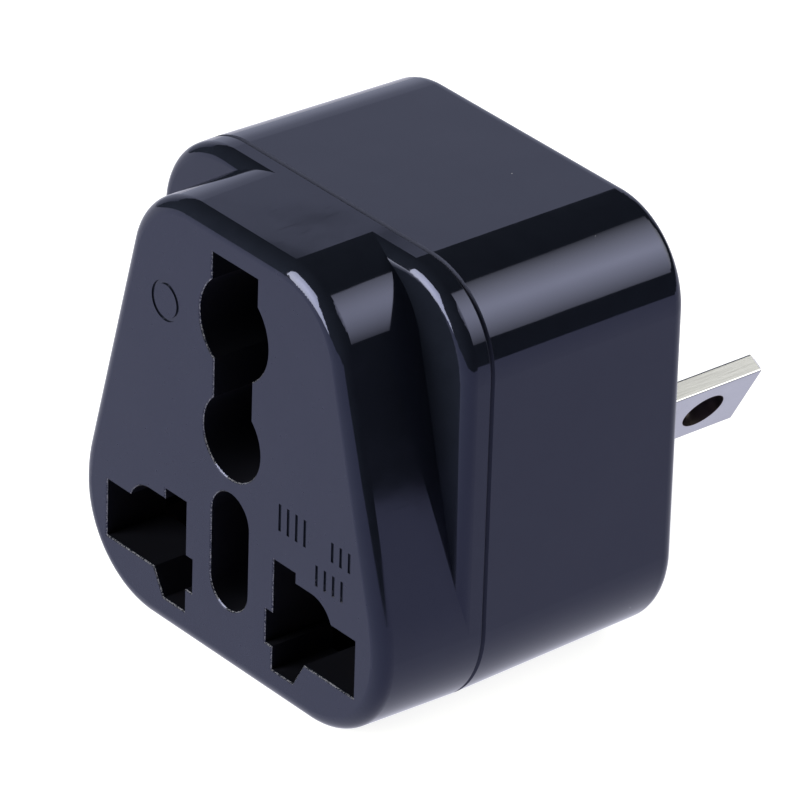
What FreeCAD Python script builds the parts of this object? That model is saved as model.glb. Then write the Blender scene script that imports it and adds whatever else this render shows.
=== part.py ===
"""Universal travel adapter: a socket face that takes many kinds of plug, on a plug with two angled flat pins.

Frame: X is to the right as the socket face is seen, Y runs from the socket face to the plug pins, Z is up.
The origin is the centre of the footprint, on the flat base. While a piece is modelled, y = 0 is the socket
face; every piece moves by the same shift when it is written.
"""
import FreeCAD, Part
import math
import os

Vector = FreeCAD.Vector

# Body
BODY_WIDTH = 35.3
BODY_HEIGHT = 35.9
BODY_DEPTH = 27.6          # socket face to back face
TOP_CORNER_RADIUS = 7.2
BASE_CORNER_RADIUS = 8.2
DRAFT = 0.0155             # how much each side leans in per millimetre away from the joint
WALL = 1.8
FACE_WALL = 2.0            # thickness of the socket face
BACK_WALL = 2.2
SPLIT_Y = 9.3              # where the front cover meets the rear housing
GROOVE = 0.2               # chamfer on each side of that joint
FRONT_EDGE_RADIUS = 1.2
BACK_EDGE_RADIUS = 1.15
LIP = 0.9                  # thickness of the housing's mouth outside the cover's tongue
LIP_LENGTH = 1.5
LIP_GAP = 0.1

# Raised socket block on the front cover
NOSE_SLOPE = 14.5          # lean of its sides above the shoulders, in degrees
NOSE_CORNER_RADIUS = 7.0
SHOULDER_RADIUS = 12.0
SIDE_STRAIGHT = 0.27       # upright side between the base corner and the shoulder
RIM_THICKNESS = 2.3        # flange left behind the two recessed corners
RIM_EDGE_RADIUS = 1.0

# Socket openings, measured from the line through the live and neutral openings
LINE_Z = 6.8
BAR_OUTER = 14.5           # rectangular pin opening, to its outer end
BAR_TOP = 2.5
BAR_BOTTOM = -2.2
ROUND_X = 9.5              # round pin lobe
ROUND_Z = 1.6
ROUND_RADIUS = 2.4
BLADE_INNER = 5.1          # upright blade lobe
BLADE_OUTER = 7.6
BLADE_TOP = 4.85
BLADE_BOTTOM = -4.3
TOE_WIDTH = 1.2            # how far the lower lobe leans out where it meets the bar
HEEL_INNER = 4.3           # small inner lobe
HEEL_TOP = 0.4
HEEL_BOTTOM = -2.4
EARTH_TOP = 26.45
EARTH_HALF = 2.62
EARTH_UPPER_Z = 21.3
EARTH_UPPER_RADIUS = 3.95
EARTH_LOWER_Z = 12.4
EARTH_LOWER_RADIUS = 3.3
NECK_HALF = 2.2
CENTRE_HALF = 2.17
CENTRE_TOP = 7.9
CENTRE_BOTTOM = -1.7
WELL_WALL = 1.0            # wall moulded round each opening behind the face
WELL_DEPTH = 5.5
MOUTH_EDGE = 0.1           # chamfer where the openings meet the face

# Sunk marks on the face
MARK_DEPTH = 0.12
RING_X = -7.9
RING_Z = 20.2
RING_RADIUS = 1.6
RING_WIDTH = 0.28
DASH_WIDTH = 0.3
DASH_PITCH = 0.95
DASH_GROUPS = ((5.6, 8.6, 2.2, 4), (11.6, 8.5, 1.6, 3), (9.9, 5.8, 1.7, 4))   # x, z, length, count

# Plug pins
PIN_SPACING = 13.72
PIN_Z = 12.68
PIN_TILT = 30.0
PIN_WIDTH = 6.35
PIN_THICKNESS = 1.6
PIN_LENGTH = 15.55         # beyond the back face
PIN_TIP_BEVEL = 0.45
PIN_EDGE_RADIUS = 0.15
PIN_HOLE_RADIUS = 1.8
PIN_HOLE_FROM_TIP = 4.65
PIN_FIT = 0.04
TENON_WIDTH = 3.0
TENON_THICKNESS = 1.1
TENON_HEAD = 0.5           # how far the peened head stands out all round
TENON_HEAD_HEIGHT = 0.6

# Ribs between the poles
RIB_INNER = 2.6
RIB_THICKNESS = 0.8
RIB_BEHIND_LIP = 1.2       # from the end of the cover's tongue to the ribs
RIB_ABOVE_BASE = 2.8
BOSS_WALL = 1.2            # wall round each pin inside the housing
BOSS_HEIGHT = 2.7          # stands in from the back wall and carries the base strip

# Contacts, per pole
STRIP = 0.7                # brass strip thickness
RIB_GAP = 0.9              # base strip to rib
FLOOR_GAP = 0.7            # lower arm to the bottom wall
SIDE_GAP = 0.85            # arms and base strip to the rounded corner of the cavity
BASE_ABOVE_PIN = 3.5
ARM_LENGTH = 4.6
ARM_WIDTH = 3.1
LEAF = 0.4
LEAF_SETBACK = 0.1         # leaf edge in from the arm's outer edge
LEAF_INNER = 5.3
LEAF_ROOT_GAP = 1.4        # end of the leaf's root to the base strip
BEND_AHEAD = 0.2           # the leaf bends this far in front of its arm
THROAT_HALF = 1.7          # half the gap between the leaves at rest
MOUTH_HALF = 3.3
MOUTH_GAP = 2.2            # from the end of the well to the leaf's mouth
FLARE_LENGTH = 2.5
SLIT_BESIDE_BLADE = 0.7
SLIT_WIDTH = 0.6
SLIT_SHORT_OF_BEND = 1.2
RIVET_IN = 1.6             # rivet axis in from the leaf's outer edge
RIVET_RADIUS = 0.8
RIVET_HEAD_RADIUS = 1.2
RIVET_HEAD = 0.25
RIVET_FIT = 0.02

# Case screws
SCREW_FROM_SIDE = 8.65
SCREW_ABOVE_LINE = 15.5
SEAT_DEPTH = 8.1           # from the back face to the seat of each head
SCREW_WEB = 2.0            # housing clamped under each screw head
SHANK_RADIUS = 1.3
SHANK_LENGTH = 11.0
SHANK_POINT = 1.6
HEAD_RADIUS = 2.2
HEAD_HEIGHT = 1.6
HEAD_CLEARANCE = 0.4
CROSS_WIDTH = 0.7
CROSS_LENGTH = 2.6
CROSS_DEPTH = 0.9
THREAD_CLEARANCE = 0.05
SHANK_CLEARANCE = 0.2
COVER_BOSS_WALL = 1.45     # plastic round each screw in the cover
PILLAR_WALL = 0.9          # plastic round each sunk head in the housing

OVERLAP = 1.0              # how far a cutting tool passes a face that it opens

# Places that follow from the sizes
TIP_Y = BODY_DEPTH + PIN_LENGTH
CAVITY_BACK = BODY_DEPTH - BACK_WALL
LEDGE_Y = SPLIT_Y - RIM_THICKNESS
SHOULDER_Z = BASE_CORNER_RADIUS + SIDE_STRAIGHT + SHOULDER_RADIUS * math.tan(math.radians(NOSE_SLOPE / 2))
NOSE_TOP_HALF = BODY_WIDTH / 2 - (BODY_HEIGHT - SHOULDER_Z) * math.tan(math.radians(NOSE_SLOPE))
BASE_Y = CAVITY_BACK - BOSS_HEIGHT - STRIP      # front face of the upright base strip
BASE_TOP = PIN_Z + BASE_ABOVE_PIN
ARM_REACH = LINE_Z - WALL - FLOOR_GAP           # outer faces of the arms, from the line
ARM_Z = ARM_REACH - STRIP
ARM_FRONT = BASE_Y - ARM_LENGTH
CAVITY_CORNER = BASE_CORNER_RADIUS - WALL
CORNER_REACH = math.sqrt(FLOOR_GAP * (2 * CAVITY_CORNER - FLOOR_GAP))
BASE_OUTER = BODY_WIDTH / 2 - BASE_CORNER_RADIUS + CORNER_REACH - SIDE_GAP
BASE_INNER = RIB_INNER + RIB_THICKNESS + RIB_GAP
LEAF_OUTER = BASE_OUTER - LEAF_SETBACK
LEAF_ROOT_END = BASE_Y - LEAF_ROOT_GAP
LEAF_BEND_Y = ARM_FRONT - BEND_AHEAD
MOUTH_Y = WELL_DEPTH + MOUTH_GAP
THROAT_Y = MOUTH_Y + FLARE_LENGTH
SLIT_X = BLADE_OUTER + SLIT_BESIDE_BLADE
SLIT_END = LEAF_BEND_Y - SLIT_SHORT_OF_BEND
RIVET_X = LEAF_OUTER - RIVET_IN
RIVET_Y = (ARM_FRONT + LEAF_ROOT_END) / 2
RIB_FRONT = SPLIT_Y + LIP_LENGTH + RIB_BEHIND_LIP
SCREW_X = BODY_WIDTH / 2 - SCREW_FROM_SIDE
SCREW_Z = LINE_Z + SCREW_ABOVE_LINE
SCREW_SEAT_Y = BODY_DEPTH - SEAT_DEPTH
PILLAR_START = SCREW_SEAT_Y - SCREW_WEB


# ---------------------------------------------------------------- shared shapes
def shrunk(corners, lean, inset):
    """Corners (x, z, radius) moved in from every side by lean + inset; only the inset comes off each radius."""
    points = [Vector(x, 0, z) for x, z, radius in corners]
    moved = []
    for index, (x, z, radius) in enumerate(corners):
        previous, corner, following = points[index - 1], points[index], points[(index + 1) % len(points)]
        sides = []
        for start, end in ((previous, corner), (corner, following)):
            sides.append(Vector(start.z - end.z, 0, end.x - start.x).normalize())
        bisector = (sides[0] + sides[1]).normalize()
        place = corner + bisector * ((lean + inset) / bisector.dot(sides[0]))
        moved.append((place.x, place.z, radius - inset))
    return moved


def tapered(near, start_y, far, end_y):
    """Flat-sided solid between two rings of corners (x, z, radius), with its lengthwise edges rounded."""
    front = [Vector(x, start_y, z) for x, z, radius in near]
    rear = [Vector(x, end_y, z) for x, z, radius in far]
    rings = [front, rear[::-1]]
    for index in range(len(front)):
        rings.append([front[index - 1], rear[index - 1], rear[index], front[index]])
    solid = Part.Solid(Part.Shell([Part.Face(Part.makePolygon(ring + ring[:1])) for ring in rings]))
    for start, end, (x, z, radius) in zip(front, rear, near):
        middle = Part.Vertex((start + end) / 2)
        solid = solid.makeFillet(radius, [min(solid.Edges, key=lambda edge: edge.distToShape(middle)[0])])
    return solid


def prism(ring, start_y, end_y):
    """Untapered solid from one ring of corners."""
    return tapered(ring, start_y, ring, end_y)


def block(x, y, z):
    """Box from three (low, high) pairs."""
    size = [pair[1] - pair[0] for pair in (x, y, z)]
    return Part.makeBox(*size, Vector(x[0], y[0], z[0]))


def cylinder_y(x, z, radius, start_y, end_y):
    """Cylinder along Y."""
    return Part.makeCylinder(radius, end_y - start_y, Vector(x, start_y, z), Vector(0, 1, 0))


def edges_at(shape, y):
    """Edges of a shape that lie in the plane at depth y."""
    return [edge for edge in shape.Edges if all(abs(vertex.Y - y) < 1e-6 for vertex in edge.Vertexes)]


def union(shapes):
    """One solid from several that overlap or touch."""
    return shapes[0].fuse(shapes[1:]).removeSplitter()


def mirrored(shape):
    """The same piece for the other pole."""
    return shape.mirror(Vector(0, 0, 0), Vector(1, 0, 0))


# ---------------------------------------------------------------- outlines
def body_ring(y, inset=0.0):
    """Corners of the body at depth y: a rectangle, widest where the mouldings meet."""
    half = BODY_WIDTH / 2
    corners = [(-half, 0, BASE_CORNER_RADIUS), (half, 0, BASE_CORNER_RADIUS),
               (half, BODY_HEIGHT, TOP_CORNER_RADIUS), (-half, BODY_HEIGHT, TOP_CORNER_RADIUS)]
    return shrunk(corners, DRAFT * abs(y - SPLIT_Y), inset)


def nose_ring(y, inset=0.0):
    """Corners of the socket block: full width below the shoulders, sloping in to a narrower top."""
    half = BODY_WIDTH / 2
    top = NOSE_TOP_HALF
    corners = [(-half, 0, BASE_CORNER_RADIUS), (half, 0, BASE_CORNER_RADIUS),
               (half, SHOULDER_Z, SHOULDER_RADIUS), (top, BODY_HEIGHT, NOSE_CORNER_RADIUS),
               (-top, BODY_HEIGHT, NOSE_CORNER_RADIUS), (-half, SHOULDER_Z, SHOULDER_RADIUS)]
    return shrunk(corners, DRAFT * abs(y - SPLIT_Y), inset)


def pole_opening(start_y, end_y, grow=0.0):
    """Right-hand opening: a bar, a round lobe, an upright blade lobe with a leaning toe, and a small heel."""
    y = (start_y, end_y)
    bar = block((BLADE_INNER - grow, BAR_OUTER + grow), y, (BAR_BOTTOM - grow, BAR_TOP + grow))
    round_lobe = cylinder_y(ROUND_X, ROUND_Z, ROUND_RADIUS + grow, start_y, end_y)
    lobe_top = ROUND_Z + ROUND_RADIUS + grow
    bridge = block((BLADE_INNER - grow, ROUND_X), y, (BAR_BOTTOM, lobe_top))
    blade = block((BLADE_INNER - grow, BLADE_OUTER + grow), y, (BLADE_BOTTOM - grow, BLADE_TOP + grow))
    heel = block((HEEL_INNER - grow, BLADE_OUTER), y, (HEEL_BOTTOM - grow, HEEL_TOP + grow))
    toe_points = [(BLADE_INNER, BLADE_BOTTOM - grow), (BLADE_OUTER + grow, BLADE_BOTTOM - grow),
                  (BLADE_OUTER + TOE_WIDTH + grow, BAR_BOTTOM), (BLADE_INNER, BAR_BOTTOM)]
    corners = [Vector(x, start_y, z) for x, z in toe_points]
    toe = Part.Face(Part.makePolygon(corners + corners[:1])).extrude(Vector(0, end_y - start_y, 0))
    shape = union([bar, round_lobe, bridge, blade, heel, toe])
    shape.translate(Vector(0, 0, LINE_Z))
    return shape


def earth_opening(start_y, end_y, grow=0.0):
    """Upper opening: a tall bar with a large round lobe, joined by a neck to a smaller one below."""
    bar = block((-EARTH_HALF - grow, EARTH_HALF + grow), (start_y, end_y), (EARTH_UPPER_Z, EARTH_TOP + grow))
    upper = cylinder_y(0, EARTH_UPPER_Z, EARTH_UPPER_RADIUS + grow, start_y, end_y)
    lower = cylinder_y(0, EARTH_LOWER_Z, EARTH_LOWER_RADIUS + grow, start_y, end_y)
    neck = block((-NECK_HALF - grow, NECK_HALF + grow), (start_y, end_y), (EARTH_LOWER_Z, EARTH_UPPER_Z))
    shape = union([bar, upper, lower, neck])
    shape.translate(Vector(0, 0, LINE_Z))
    return shape


def centre_opening(start_y, end_y, grow=0.0):
    """Upright slot with round ends between the two poles."""
    radius = CENTRE_HALF + grow
    low = LINE_Z + CENTRE_BOTTOM + CENTRE_HALF
    high = LINE_Z + CENTRE_TOP - CENTRE_HALF
    middle = block((-radius, radius), (start_y, end_y), (low, high))
    return union([middle] + [cylinder_y(0, z, radius, start_y, end_y) for z in (low, high)])


def all_openings(start_y, end_y, grow=0.0):
    right = pole_opening(start_y, end_y, grow)
    return [right, mirrored(right), earth_opening(start_y, end_y, grow), centre_opening(start_y, end_y, grow)]


# ---------------------------------------------------------------- mouldings
def face_marks():
    """Sunk ring and short rows of plain dashes, as cutting tools for the socket face."""
    depth = (-OVERLAP, MARK_DEPTH)
    ring = cylinder_y(RING_X, LINE_Z + RING_Z, RING_RADIUS, *depth)
    ring = ring.cut(cylinder_y(RING_X, LINE_Z + RING_Z, RING_RADIUS - RING_WIDTH, *depth))
    tools = [ring]
    for first_x, middle_z, length, count in DASH_GROUPS:
        z = LINE_Z + middle_z
        for index in range(count):
            x = first_x + index * DASH_PITCH
            tools.append(block((x, x + DASH_WIDTH), depth, (z - length / 2, z + length / 2)))
    return tools


def front_cover():
    """Socket face moulding: the raised block on its flange, hollow behind, with a well round each opening."""
    nose_end = SPLIT_Y - (RIM_THICKNESS - RIM_EDGE_RADIUS) / 2
    nose = tapered(nose_ring(0), 0, nose_ring(nose_end), nose_end)
    nose = nose.makeFillet(FRONT_EDGE_RADIUS, edges_at(nose, 0))
    flange = tapered(body_ring(LEDGE_Y), LEDGE_Y, body_ring(SPLIT_Y), SPLIT_Y)
    flange = flange.makeFillet(RIM_EDGE_RADIUS, edges_at(flange, LEDGE_Y))
    flange = flange.makeChamfer(GROOVE, edges_at(flange, SPLIT_Y))
    shell = nose.fuse(flange).removeSplitter()
    shell = shell.cut(prism(nose_ring(FACE_WALL, WALL), FACE_WALL, SPLIT_Y + OVERLAP))

    tongue_start = SPLIT_Y - GROOVE - LIP_GAP
    tongue_end = SPLIT_Y + LIP_LENGTH
    tongue = prism(body_ring(SPLIT_Y - GROOVE, LIP + LIP_GAP), tongue_start, tongue_end)
    tongue = tongue.cut(prism(body_ring(LEDGE_Y, WALL), LEDGE_Y, tongue_end + OVERLAP))
    inside = prism(nose_ring(FACE_WALL / 2, WALL / 2), FACE_WALL / 2, WELL_DEPTH)
    wells = [well.common(inside) for well in all_openings(FACE_WALL / 2, WELL_DEPTH, WELL_WALL)]
    boss = cylinder_y(SCREW_X, SCREW_Z, SHANK_RADIUS + COVER_BOSS_WALL, FACE_WALL / 2, PILLAR_START)
    solid = union([shell, tongue] + wells + [boss, mirrored(boss)])

    bore_start = SCREW_SEAT_Y - SHANK_LENGTH - OVERLAP
    bore = cylinder_y(SCREW_X, SCREW_Z, SHANK_RADIUS + THREAD_CLEARANCE, bore_start, PILLAR_START + OVERLAP)
    solid = solid.cut(all_openings(-OVERLAP, WELL_DEPTH) + [bore, mirrored(bore)])
    face = max(solid.Faces, key=lambda face: face.Area if face.BoundBox.YMax < MOUTH_EDGE else 0)
    mouths = [edge for wire in face.Wires if not wire.isSame(face.OuterWire) for edge in wire.Edges]
    return solid.makeChamfer(MOUTH_EDGE, mouths).cut(face_marks())


def rear_housing():
    """Rear shell: carries the pins, the ribs between the poles and the two screw pillars."""
    shell = tapered(body_ring(SPLIT_Y), SPLIT_Y, body_ring(BODY_DEPTH), BODY_DEPTH)
    shell = shell.makeFillet(BACK_EDGE_RADIUS, edges_at(shell, BODY_DEPTH))
    shell = shell.makeChamfer(GROOVE, edges_at(shell, SPLIT_Y))
    cavity = tapered(body_ring(SPLIT_Y, WALL), SPLIT_Y, body_ring(CAVITY_BACK, WALL), CAVITY_BACK)
    rebate = prism(body_ring(SPLIT_Y, LIP), SPLIT_Y, SPLIT_Y + LIP_LENGTH + LIP_GAP)
    shell = shell.cut([cavity, rebate])

    root_y = CAVITY_BACK + BACK_WALL / 2
    rib_top = BASE_TOP + RIB_ABOVE_BASE
    rib = block((RIB_INNER, RIB_INNER + RIB_THICKNESS), (RIB_FRONT, root_y), (WALL / 2, rib_top))
    boss = pin_prism(PIN_THICKNESS + 2 * BOSS_WALL, PIN_WIDTH + 2 * BOSS_WALL, BASE_Y + STRIP, root_y)
    pillar_radius = HEAD_RADIUS + HEAD_CLEARANCE + PILLAR_WALL
    pillar = cylinder_y(SCREW_X, SCREW_Z, pillar_radius, PILLAR_START, root_y)
    right = [rib, boss, pillar]
    solid = union([shell] + right + [mirrored(shape) for shape in right])

    slot = pin_prism(PIN_THICKNESS + 2 * PIN_FIT, PIN_WIDTH + 2 * PIN_FIT, BASE_Y, BODY_DEPTH + OVERLAP)
    seat = cylinder_y(SCREW_X, SCREW_Z, HEAD_RADIUS + HEAD_CLEARANCE, SCREW_SEAT_Y, BODY_DEPTH + OVERLAP)
    hole = cylinder_y(SCREW_X, SCREW_Z, SHANK_RADIUS + SHANK_CLEARANCE, SPLIT_Y, SCREW_SEAT_Y + OVERLAP)
    tools = [slot, seat, hole]
    return solid.cut(tools + [mirrored(shape) for shape in tools])


def pin_prism(thickness, width, start_y, end_y):
    """Flat bar along Y at the right-hand pin's place, tilted so that its top leans outwards."""
    bar = block((-thickness / 2, thickness / 2), (start_y, end_y), (-width / 2, width / 2))
    bar.rotate(Vector(0, 0, 0), Vector(0, 1, 0), PIN_TILT)
    bar.translate(Vector(PIN_SPACING / 2, 0, PIN_Z))
    return bar


# ---------------------------------------------------------------- metal pieces
def plug_pin():
    """Flat pin with a bevelled tip and a round hole, and a tenon at its root peened over the base strip."""
    blade = pin_prism(PIN_THICKNESS, PIN_WIDTH, BASE_Y + STRIP, TIP_Y)
    blade = blade.makeChamfer(PIN_TIP_BEVEL, edges_at(blade, TIP_Y))
    long_edges = [edge for edge in blade.Edges if edge.Length > PIN_LENGTH]
    blade = blade.makeFillet(PIN_EDGE_RADIUS, long_edges)
    tilt = math.radians(PIN_TILT)
    across = Vector(math.cos(tilt), 0, -math.sin(tilt))
    centre = Vector(PIN_SPACING / 2, TIP_Y - PIN_HOLE_FROM_TIP, PIN_Z)
    blade = blade.cut(Part.makeCylinder(PIN_HOLE_RADIUS, 2 * PIN_WIDTH, centre - across * PIN_WIDTH, across))
    tenon = pin_prism(TENON_THICKNESS, TENON_WIDTH, BASE_Y - TENON_HEAD_HEIGHT, BASE_Y + STRIP)
    head = pin_prism(TENON_THICKNESS + 2 * TENON_HEAD, TENON_WIDTH + 2 * TENON_HEAD,
                     BASE_Y - TENON_HEAD_HEIGHT, BASE_Y)
    return union([blade, tenon, head])


def rivet_hole():
    """Upright hole through both arms and both leaf roots."""
    half = ARM_REACH + OVERLAP
    return Part.makeCylinder(RIVET_RADIUS + RIVET_FIT, 2 * half, Vector(RIVET_X, RIVET_Y, LINE_Z - half))


def contact_base():
    """Brass strip: an upright plate held by the pin's tenon, with an arm forward above and below the line."""
    plate = block((BASE_INNER, BASE_OUTER), (BASE_Y, BASE_Y + STRIP), (LINE_Z - ARM_REACH, BASE_TOP))
    arms = []
    for side in (-1, 1):
        low, high = sorted((LINE_Z + side * ARM_Z, LINE_Z + side * ARM_REACH))
        arms.append(block((LEAF_OUTER - ARM_WIDTH, LEAF_OUTER), (ARM_FRONT, BASE_Y + STRIP / 2), (low, high)))
    solid = union([plate] + arms)
    tenon_hole = pin_prism(TENON_THICKNESS + 2 * PIN_FIT, TENON_WIDTH + 2 * PIN_FIT,
                           BASE_Y - OVERLAP, BASE_Y + STRIP + OVERLAP)
    return solid.cut([tenon_hole, rivet_hole()])


def contact_leaf(side):
    """Spring leaf: flat root on its arm, sloping in to the throat and flared at the mouth, in two fingers."""
    root = ARM_Z - LEAF / 2
    throat = THROAT_HALF + LEAF / 2
    course = [(LEAF_ROOT_END, root), (LEAF_BEND_Y, root), (THROAT_Y, throat), (MOUTH_Y, MOUTH_HALF)]
    centres = [Vector(LEAF_INNER, y, LINE_Z + side * z) for y, z in course]
    normals = []
    for start, end in zip(centres, centres[1:]):
        normals.append((end - start).cross(Vector(1, 0, 0)).normalize())
    mitres = [normals[0]]
    for before, after in zip(normals, normals[1:]):
        bisector = (before + after).normalize()
        mitres.append(bisector * (1 / bisector.dot(after)))
    mitres.append(normals[-1])
    upper = [centre + mitre * (LEAF / 2) for centre, mitre in zip(centres, mitres)]
    lower = [centre - mitre * (LEAF / 2) for centre, mitre in zip(centres, mitres)]
    loop = upper + lower[::-1]
    face = Part.Face(Part.makePolygon(loop + loop[:1]))
    strip = face.extrude(Vector(LEAF_OUTER - LEAF_INNER, 0, 0))
    slit = block((SLIT_X, SLIT_X + SLIT_WIDTH), (MOUTH_Y - OVERLAP, SLIT_END), (0, 2 * LINE_Z))
    return strip.cut([slit, rivet_hole()])


def leaf_rivets():
    """Two rivets, one through each leaf root and its arm."""
    rivets = []
    for side in (-1, 1):
        inner = ARM_Z - LEAF
        outer = ARM_REACH
        up = Vector(0, 0, side)
        root = Vector(RIVET_X, RIVET_Y, LINE_Z + side * inner)
        shank = Part.makeCylinder(RIVET_RADIUS, outer - inner, root, up)
        heads = []
        for start in (inner - RIVET_HEAD, outer):
            place = Vector(RIVET_X, RIVET_Y, LINE_Z + side * start)
            heads.append(Part.makeCylinder(RIVET_HEAD_RADIUS, RIVET_HEAD, place, up))
        rivets.append(union([shank] + heads))
    return Part.makeCompound(rivets)


def case_screws():
    """Two self-tapping screws with domed cross-recess heads, driven in from the back."""
    point_y = SCREW_SEAT_Y - SHANK_LENGTH
    shank = cylinder_y(0, 0, SHANK_RADIUS, point_y + SHANK_POINT, SCREW_SEAT_Y)
    point = Part.makeCone(SHANK_RADIUS / 4, SHANK_RADIUS, SHANK_POINT, Vector(0, point_y, 0), Vector(0, 1, 0))
    head = cylinder_y(0, 0, HEAD_RADIUS, SCREW_SEAT_Y, SCREW_SEAT_Y + HEAD_HEIGHT)
    head = head.makeFillet(HEAD_HEIGHT / 2, edges_at(head, SCREW_SEAT_Y + HEAD_HEIGHT))
    screw = union([shank, point, head])
    top = SCREW_SEAT_Y + HEAD_HEIGHT
    for half_x, half_z in ((CROSS_LENGTH / 2, CROSS_WIDTH / 2), (CROSS_WIDTH / 2, CROSS_LENGTH / 2)):
        screw = screw.cut(block((-half_x, half_x), (top - CROSS_DEPTH, top + OVERLAP), (-half_z, half_z)))
    screws = []
    for x in (-SCREW_X, SCREW_X):
        copy = screw.copy()
        copy.translate(Vector(x, 0, SCREW_Z))
        screws.append(copy)
    return Part.makeCompound(screws)


# ---------------------------------------------------------------- assembly
def build():
    """Every piece by node name."""
    pieces = {"front_cover": front_cover(), "rear_housing": rear_housing(), "case_screws": case_screws()}
    pole_pieces = {"pin": plug_pin(), "contact_base": contact_base(), "leaf_upper": contact_leaf(1),
                   "leaf_lower": contact_leaf(-1), "leaf_rivets": leaf_rivets()}
    for name, shape in pole_pieces.items():
        pieces["live_" + name] = shape
        pieces["neutral_" + name] = mirrored(shape)
    return pieces


os.makedirs("parts", exist_ok=True)
for node, shape in build().items():
    shape.translate(Vector(0, -TIP_Y / 2, 0))
    shape.exportStep("parts/" + node + ".step")
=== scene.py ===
import math
import bpy
from mathutils import Matrix, Vector


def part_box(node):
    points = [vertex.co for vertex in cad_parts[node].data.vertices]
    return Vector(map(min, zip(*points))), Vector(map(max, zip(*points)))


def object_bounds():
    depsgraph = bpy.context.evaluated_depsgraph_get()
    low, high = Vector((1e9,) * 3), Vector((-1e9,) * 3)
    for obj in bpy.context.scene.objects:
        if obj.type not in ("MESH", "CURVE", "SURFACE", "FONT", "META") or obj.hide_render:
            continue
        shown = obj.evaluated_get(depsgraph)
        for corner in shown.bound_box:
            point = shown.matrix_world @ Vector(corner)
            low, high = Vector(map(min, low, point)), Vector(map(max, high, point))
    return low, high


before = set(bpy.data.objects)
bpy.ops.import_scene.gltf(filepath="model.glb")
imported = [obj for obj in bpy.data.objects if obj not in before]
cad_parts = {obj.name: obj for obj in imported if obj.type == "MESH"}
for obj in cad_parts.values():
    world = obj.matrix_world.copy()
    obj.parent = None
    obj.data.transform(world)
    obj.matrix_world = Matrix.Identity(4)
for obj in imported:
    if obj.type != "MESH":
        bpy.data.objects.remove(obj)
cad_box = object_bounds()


# ---------------------------------------------------------------- softboxes
# The adapter is lit as a small product is: a bright softbox at the front left, a large one behind on the
# right and a dim white sweep behind on the left. Each is a sheet of glowing cloth, brightest in the middle.
MM = 0.001
AIM = Vector((0, 0, 18 * MM))
DISTANCE = 0.9


class Amount:
    """A number that varies over a surface: arithmetic on it adds Math nodes."""

    def __init__(self, finish, socket):
        self.finish = finish
        self.socket = socket

    def math(self, operation, *terms):
        """A Math node on the terms, with its result as an Amount."""
        node = self.finish.node("ShaderNodeMath", {"operation": operation}, dict(enumerate(terms)))
        return Amount(self.finish, node.outputs[0])

    def __add__(self, other):
        return self.math("ADD", self, other)

    def __rsub__(self, other):
        return self.math("SUBTRACT", other, self)

    def __mul__(self, other):
        return self.math("MULTIPLY", self, other)

    __radd__ = __add__
    __rmul__ = __mul__

    def ramp(self, low, high):
        """0 below low, 1 above high, smooth between."""
        node = self.finish.node("ShaderNodeMapRange", {"interpolation_type": "SMOOTHSTEP"},
                                {"Value": self, "From Min": low, "From Max": high})
        return Amount(self.finish, node.outputs[0])


class Finish:
    """A material whose nodes feed one Principled shader."""

    def __init__(self, name):
        self.material = bpy.data.materials.new(name)
        self.material.use_nodes = True
        self.tree = self.material.node_tree
        self.shader = self.tree.nodes["Principled BSDF"]

    def node(self, kind, settings, sockets):
        """A node of a type: its settings first, then the values or links of its sockets."""
        made = self.tree.nodes.new(kind)
        for name, value in settings.items():
            setattr(made, name, value)
        self.feed(made, sockets)
        return made

    def feed(self, node, sockets):
        """Values or links into a node's sockets."""
        for key, value in sockets.items():
            if isinstance(value, (Amount, bpy.types.NodeSocket)):
                self.tree.links.new(getattr(value, "socket", value), node.inputs[key])
            else:
                node.inputs[key].default_value = value

    def place(self):
        """Object coordinates, in metres."""
        return self.node("ShaderNodeTexCoord", {}, {}).outputs["Object"]

    def noise(self, scale, detail, stretch=(1, 1, 1)):
        """Noise from 0 to 1, scale grains to the metre, drawn out along an axis by a stretch under 1."""
        grains = self.node("ShaderNodeMapping", {}, {"Vector": self.place(), "Scale": stretch})
        texture = self.node("ShaderNodeTexNoise", {}, {"Vector": grains.outputs[0], "Scale": scale,
                                                       "Detail": detail})
        return Amount(self, texture.outputs["Fac"])

    def mix(self, factor, first, second):
        """Colour between two."""
        node = self.node("ShaderNodeMix", {"data_type": "RGBA"}, {0: factor, 6: first, 7: second})
        return node.outputs[2]

    def bump(self, height):
        """Normal from a height in metres."""
        node = self.node("ShaderNodeBump", {}, {"Strength": 1.0, "Distance": 1.0, "Height": height})
        return node.outputs["Normal"]


def direction(azimuth, elevation):
    """Unit vector at an azimuth from +Y towards +X and an elevation above the floor, both in degrees."""
    turn = math.radians(azimuth)
    rise = math.radians(elevation)
    return Vector((math.sin(turn) * math.cos(rise), math.cos(turn) * math.cos(rise), math.sin(rise)))


def flat_sheet(name, corners, finish):
    """Four-cornered sheet that belongs to the studio."""
    mesh = bpy.data.meshes.new(name)
    mesh.from_pydata(corners, [], [(0, 1, 2, 3)])
    mesh.materials.append(finish.material)
    sheet = bpy.data.objects.new(name, mesh)
    bpy.context.collection.objects.link(sheet)
    return sheet


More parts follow.
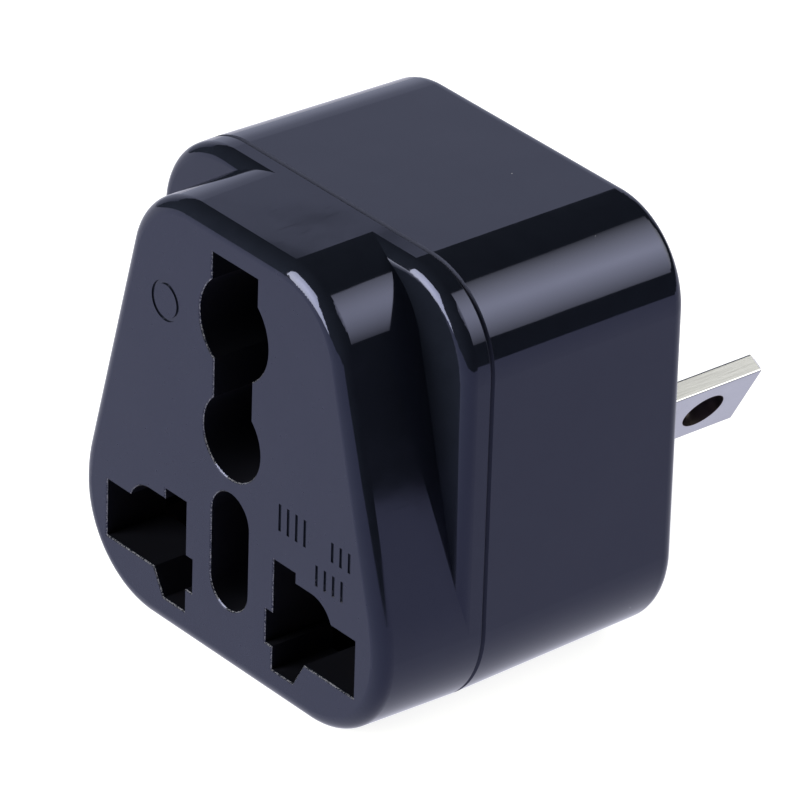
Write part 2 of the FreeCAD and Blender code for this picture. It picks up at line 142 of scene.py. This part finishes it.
def softbox(name, azimuth, elevation, half_turn, half_rise, radiance, rim, colour):
    """Glowing sheet that faces the adapter and spans half_turn and half_rise degrees to each side.

    Its light falls evenly from the radiance in the middle to a share rim of it at the corners.
    """
    towards = direction(azimuth, elevation)
    middle = AIM + towards * DISTANCE
    across = direction(azimuth + 90, 0)
    upward = across.cross(-towards)
    wide = across * DISTANCE * math.tan(math.radians(half_turn))
    high = upward * DISTANCE * math.tan(math.radians(half_rise))
    cloth = Finish(name)
    gap = cloth.node("ShaderNodeVectorMath", {"operation": "DISTANCE"}, {0: cloth.place(), 1: middle})
    share = Amount(cloth, gap.outputs["Value"]) * (1 / (wide + high).length)
    glow = cloth.mix(share, (*colour, 1), (*(level * rim for level in colour), 1))
    cloth.feed(cloth.shader, {"Base Color": (0, 0, 0, 1), "Emission Color": glow,
                              "Emission Strength": radiance})
    corners = [middle - wide - high, middle + wide - high, middle + wide + high, middle - wide + high]
    flat_sheet(name, corners, cloth).visible_camera = False


softbox("key_softbox", azimuth=-159, elevation=21, half_turn=18, half_rise=26,
        radiance=18.0, rim=0.6, colour=(1.0, 1.0, 0.84))
softbox("rear_softbox", azimuth=38, elevation=36, half_turn=25, half_rise=22,
        radiance=7.6, rim=0.04, colour=(1.0, 1.0, 0.86))
softbox("sweep", azimuth=-55, elevation=10, half_turn=45, half_rise=20.6,
        radiance=0.95, rim=0.4, colour=(0.74, 0.78, 1.0))

world = bpy.data.worlds.new("studio")
world.use_nodes = True
world.node_tree.nodes["Background"].inputs["Color"].default_value = (0.014, 0.015, 0.018, 1)
bpy.context.scene.world = world
bpy.context.scene.view_settings.view_transform = "Standard"


# ---------------------------------------------------------------- floor
# White acrylic, lit a little from below so that it stays clean under the adapter. The glossy walls mirror
# only a dimmer, bluish middle part of it, which is a sheet of its own that shows in reflections alone.
def acrylic(name, white, glow, tint):
    """Satin white sheet that lets through some light from below."""
    finish = Finish(name)
    finish.feed(finish.shader, {"Base Color": (white, white, white, 1), "Roughness": 0.7,
                                "Specular IOR Level": 0.1, "Emission Color": (*tint, 1),
                                "Emission Strength": glow})
    return finish


def level_sheet(name, left, right, near, far, finish):
    """Sheet on the floor between two x and two y."""
    return flat_sheet(name, [(left, near, 0), (right, near, 0), (right, far, 0), (left, far, 0)], finish)


floor = level_sheet("floor", left=-3.0, right=3.0, near=-3.0, far=3.0,
                    finish=acrylic("floor_acrylic", white=0.4, glow=0.86, tint=(1, 1, 1)))
floor.visible_glossy = False
mirrored = level_sheet("lit_middle", left=-0.4, right=0.178, near=-0.4, far=0.4,
                       finish=acrylic("middle_acrylic", white=0.7, glow=0.40, tint=(0.62, 0.64, 1)))
for flag in ("visible_camera", "visible_diffuse", "visible_shadow", "visible_transmission"):
    setattr(mirrored, flag, False)


# ---------------------------------------------------------------- camera
# A long lens a little over half a metre away, above and to the right of the socket face.
# It is rolled by a little under two degrees.
lens = bpy.data.cameras.new("camera")
lens.lens = 366.2
lens.sensor_width = 36
lens.clip_start = 0.05
camera = bpy.data.objects.new("camera", lens)
bpy.context.collection.objects.link(camera)
RIGHT = (0.62924, 0.77673, 0.02740)
UP = (-0.39136, 0.28618, 0.87461)
BACK = (0.67150, -0.56106, 0.48405)
camera.matrix_world = Matrix((RIGHT, UP, BACK)).transposed().to_4x4()
camera.location = (0.39717, -0.33781, 0.30361)
bpy.context.scene.camera = camera


# ---------------------------------------------------------------- mouldings
# Front cover and rear housing: blue-black plastic from polished moulds, so the walls are mirror-bright with
# a faint unevenness, while the plane of the socket face is matt. The cover's tongue sits in the housing's
# mouth, and two screws from the back hold them together.
FACE_Y = cad_box[0][1]
JOINT_Y = FACE_Y + 9.3 * MM
OPENINGS_MM = ((14.7, 4.4, 12.2), (9, 2.2, 5), (4.2, 6, 33.7))    # half width, foot and top
OPENING_BORDER = 0.1 * MM
BLUE_BLACK = (0.0045, 0.0055, 0.0100, 1)
DULL_BLACK = (0.0065, 0.0078, 0.0140, 1)
GRAIN_LOW = (0.001, 0.0015, 0.005, 1)
GRAIN_HIGH = (0.006, 0.0075, 0.016, 1)
# Painted shade inside the openings.
INSIDE_PAINTED_SHADE = (0.002, 0.002, 0.003, 1)
# Painted glints on the openings' mouths.
MOUTH_PAINTED_GLINT = (0.10, 0.10, 0.13, 1)
DUST_GREY = (0.30, 0.30, 0.33, 1)
REFLECTION_TINT = (0.55, 0.58, 1.0, 1)


def band(amount, low, high, soft):
    """1 between low and high, 0 outside, with a soft border."""
    return amount.ramp(low - soft, low) * (1 - amount.ramp(high, high + soft))


def moulded_plastic(name, matt_face):
    """Polished plastic, dull in the joint. If asked, the plane of the socket face gets a matt grain, the
    openings painted shade inside and painted glints on their mouths.
    """
    finish = Finish(name)
    split = finish.node("ShaderNodeSeparateXYZ", {}, {"Vector": finish.place()})
    side, depth, height = (Amount(finish, split.outputs[axis]) for axis in "XYZ")
    sink = finish.noise(scale=120, detail=1)
    haze = finish.noise(scale=700, detail=4)
    scuff = finish.noise(scale=2600, detail=3, stretch=(1, 0.12, 1)).ramp(0.62, 0.74)
    joint = band(depth, JOINT_Y - 0.19 * MM, JOINT_Y + 0.19 * MM, 0.03 * MM)
    cells = finish.node("ShaderNodeTexVoronoi", {}, {"Vector": finish.place(), "Scale": 240})
    dusty = finish.noise(scale=90, detail=1).ramp(0.5, 0.56)
    dust = (1 - Amount(finish, cells.outputs["Distance"]).ramp(0.008, 0.016)) * dusty
    roughness = haze * 0.05 + 0.035 + scuff * 0.04 + joint * 0.5 + dust * 0.4
    relief = sink * 0.00004
    colour = finish.mix(haze, BLUE_BLACK, DULL_BLACK)
    if matt_face:
        matt = 1 - depth.ramp(FACE_Y + 0.01 * MM, FACE_Y + 0.05 * MM)
        grain = finish.noise(scale=9000, detail=2)
        cloud = finish.noise(scale=900, detail=3)
        opening = sum(band(side, -half * MM, half * MM, OPENING_BORDER)
                      * band(height, foot * MM, top * MM, OPENING_BORDER)
                      for half, foot, top in OPENINGS_MM).ramp(0, 1)
        # Inside the openings the walls are rougher, and their darker colour is painted shade.
        inside = opening * depth.ramp(FACE_Y + 0.12 * MM, FACE_Y + 0.3 * MM)
        mouth = opening * band(depth, FACE_Y + 0.03 * MM, FACE_Y + 0.1 * MM, 0.02 * MM)
        roughness = roughness + matt * (0.13 + cloud * 0.06 + grain * 0.05) + inside * 0.4
        relief = relief + matt * grain * 0.000007
        colour = finish.mix(matt, colour, finish.mix(grain, GRAIN_LOW, GRAIN_HIGH))
        colour = finish.mix(inside, colour, INSIDE_PAINTED_SHADE)
        # The lighter, grainy colour on the mouths is painted glints along the openings' edges.
        colour = finish.mix(mouth * grain.ramp(0.4, 0.62), colour, MOUTH_PAINTED_GLINT)
    finish.feed(finish.shader, {"Base Color": finish.mix(dust, colour, DUST_GREY), "Roughness": roughness,
                                "IOR": 1.5, "Specular IOR Level": 0.45, "Specular Tint": REFLECTION_TINT,
                                "Normal": finish.bump(relief)})
    return finish.material


for node, name, matt_face in (("front_cover", "cover_plastic", True),
                              ("rear_housing", "housing_plastic", False)):
    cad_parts[node].material_slots[0].material = moulded_plastic(name, matt_face)


# ---------------------------------------------------------------- plug pins
# Two flat pins stamped from brass strip and nickel-plated, each peened at its root over a contact's base
# strip. The wall of the hole through each is rougher, and its dark colour is painted shade in the bore.
HOLE_FROM_TIP = 4.65 * MM
HOLE_RADIUS = 1.8 * MM
PIN_TILT = math.radians(30)
NICKEL_DULL = (0.38, 0.38, 0.42, 1)
NICKEL_BRIGHT = (0.46, 0.46, 0.50, 1)
HOLE_PAINTED_SHADE = (0.16, 0.13, 0.14, 1)


def nickel_plate(name, node, lean):
    """Bright nickel with fine scratches along the pin, with painted shade inside the hole. lean is 1 or -1.
    """
    low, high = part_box(node)
    centre = ((low[0] + high[0]) / 2, high[1] - HOLE_FROM_TIP, (low[2] + high[2]) / 2)
    axis = (lean * math.cos(PIN_TILT), 0, -math.sin(PIN_TILT))
    finish = Finish(name)
    offset = finish.node("ShaderNodeVectorMath", {"operation": "SUBTRACT"}, {0: finish.place(), 1: centre})
    across = finish.node("ShaderNodeVectorMath", {"operation": "CROSS_PRODUCT"},
                         {0: offset.outputs[0], 1: axis})
    radius = finish.node("ShaderNodeVectorMath", {"operation": "LENGTH"}, {0: across.outputs[0]})
    inside = 1 - Amount(finish, radius.outputs["Value"]).ramp(HOLE_RADIUS, HOLE_RADIUS + 0.06 * MM)
    scratch = finish.noise(scale=5200, detail=3, stretch=(1, 0.05, 1))
    cloud = finish.noise(scale=420, detail=3)
    plate = finish.mix(cloud, NICKEL_DULL, NICKEL_BRIGHT)
    # Inside the hole the darker colour is painted shade.
    finish.feed(finish.shader, {"Base Color": finish.mix(inside, plate, HOLE_PAINTED_SHADE), "Metallic": 1.0,
                                "Roughness": 0.14 + scratch * 0.10 + cloud * 0.06 + inside * 0.1,
                                "Normal": finish.bump(scratch * 0.000003)})
    return finish.material


for node, lean in (("live_pin", 1), ("neutral_pin", -1)):
    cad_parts[node].material_slots[0].material = nickel_plate(node + "_nickel", node, lean)


# ---------------------------------------------------------------- contacts and screws
# Base strips of bare stamped brass, with spring leaves of phosphor bronze held to them by brass rivets. The
# two zinc-plated steel screws go in from the back of the housing into the cover.
BRONZE = (0.76, 0.50, 0.32)
BRONZE_DULL = (0.50, 0.30, 0.18)


def bare_metal(name, fresh, dull, roughness):
    """Metal with a fine grain drawn out along the depth, tarnished in patches."""
    finish = Finish(name)
    patch = finish.noise(scale=500, detail=4).ramp(0.35, 0.7)
    grain = finish.noise(scale=6000, detail=2, stretch=(1, 0.08, 1))
    finish.feed(finish.shader, {"Base Color": finish.mix(patch, (*fresh, 1), (*dull, 1)), "Metallic": 1.0,
                                "Roughness": roughness + patch * 0.18 + grain * 0.1,
                                "Normal": finish.bump(grain * 0.00001)})
    return finish.material


finishes = {"contact_base": bare_metal("brass_strip", (0.80, 0.60, 0.30), (0.52, 0.36, 0.18), 0.22),
            "rivets": bare_metal("brass_rivet", (0.84, 0.66, 0.36), (0.60, 0.44, 0.24), 0.18),
            "upper": bare_metal("bronze_upper_leaf", BRONZE, BRONZE_DULL, 0.18),
            "lower": bare_metal("bronze_lower_leaf", BRONZE, BRONZE_DULL, 0.18),
            "screws": bare_metal("zinc_screw", (0.62, 0.62, 0.64), (0.46, 0.47, 0.50), 0.24)}
for name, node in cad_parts.items():
    for ending, material in finishes.items():
        if name.endswith(ending):
            node.material_slots[0].material = material
